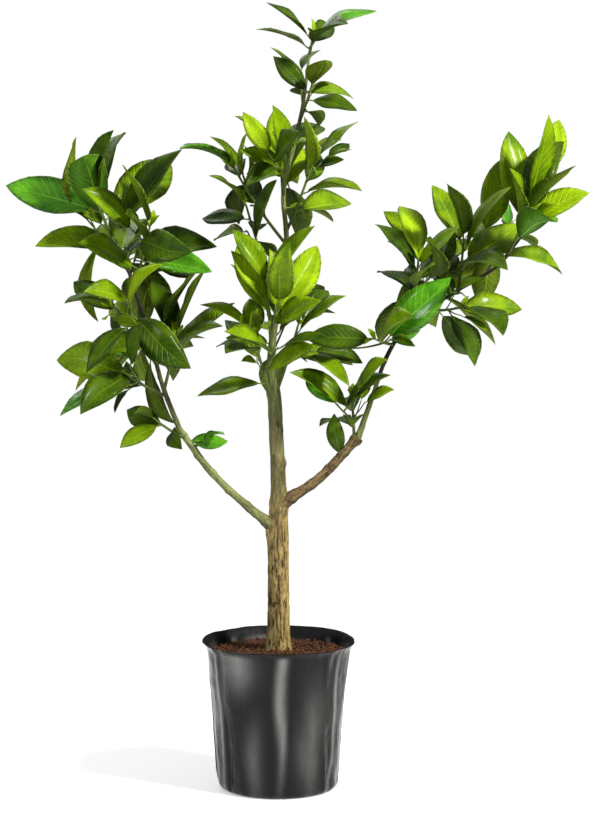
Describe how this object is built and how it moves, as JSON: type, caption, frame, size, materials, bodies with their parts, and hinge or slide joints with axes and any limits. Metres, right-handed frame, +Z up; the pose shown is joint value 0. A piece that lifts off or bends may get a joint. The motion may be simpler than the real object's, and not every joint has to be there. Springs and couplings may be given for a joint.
{
  "type": "potted mandarin tree",
  "caption": "Young open-crowned mandarin tree with a bare upright trunk, two low side boughs and leafy shoots, growing in a black nursery grow bag filled with soil.",
  "frame": {"origin": "centre of the grow bag's flat underside, on the surface that it stands on", "axes": "+Z up along the trunk, -Y towards the front of the plant, +X to its right as seen from the front"},
  "size_m": [0.6373, 0.2766, 0.8604],
  "materials": {
    "black_film": "gloss",
    "soil": "matte",
    "bark": "matte",
    "green_bark": "satin",
    "foliage": "satin"
  },
  "bodies": {
    "root": {"grow_bag": "black_film", "soil": "soil", "trunk": "bark", "left_bough": "green_bark", "left_limb": "green_bark", "right_bough": "bark", "right_limb": "green_bark", "left_top": "foliage", "left_top_right": "foliage", "left_top_back": "foliage", "left_mid": "foliage", "left_inner": "foliage", "left_back": "foliage", "left_low": "foliage", "left_foot": "foliage", "left_bract": "foliage", "centre_low_left": "foliage", "centre_low_right": "foliage", "centre_low_front": "foliage", "centre_low_back": "foliage", "centre_side": "foliage", "centre_high_left": "foliage", "centre_high_right": "foliage", "centre_high_mid": "foliage", "centre_high_back": "foliage", "top_low": "foliage", "top_back": "foliage", "top_mass": "foliage", "right_foot": "foliage", "right_low": "foliage", "right_fork": "foliage", "right_mid": "foliage", "right_mid_back": "foliage", "right_under": "foliage", "right_top_left": "foliage", "right_top": "foliage", "right_top_back": "foliage"}
  },
  "joints": []
}
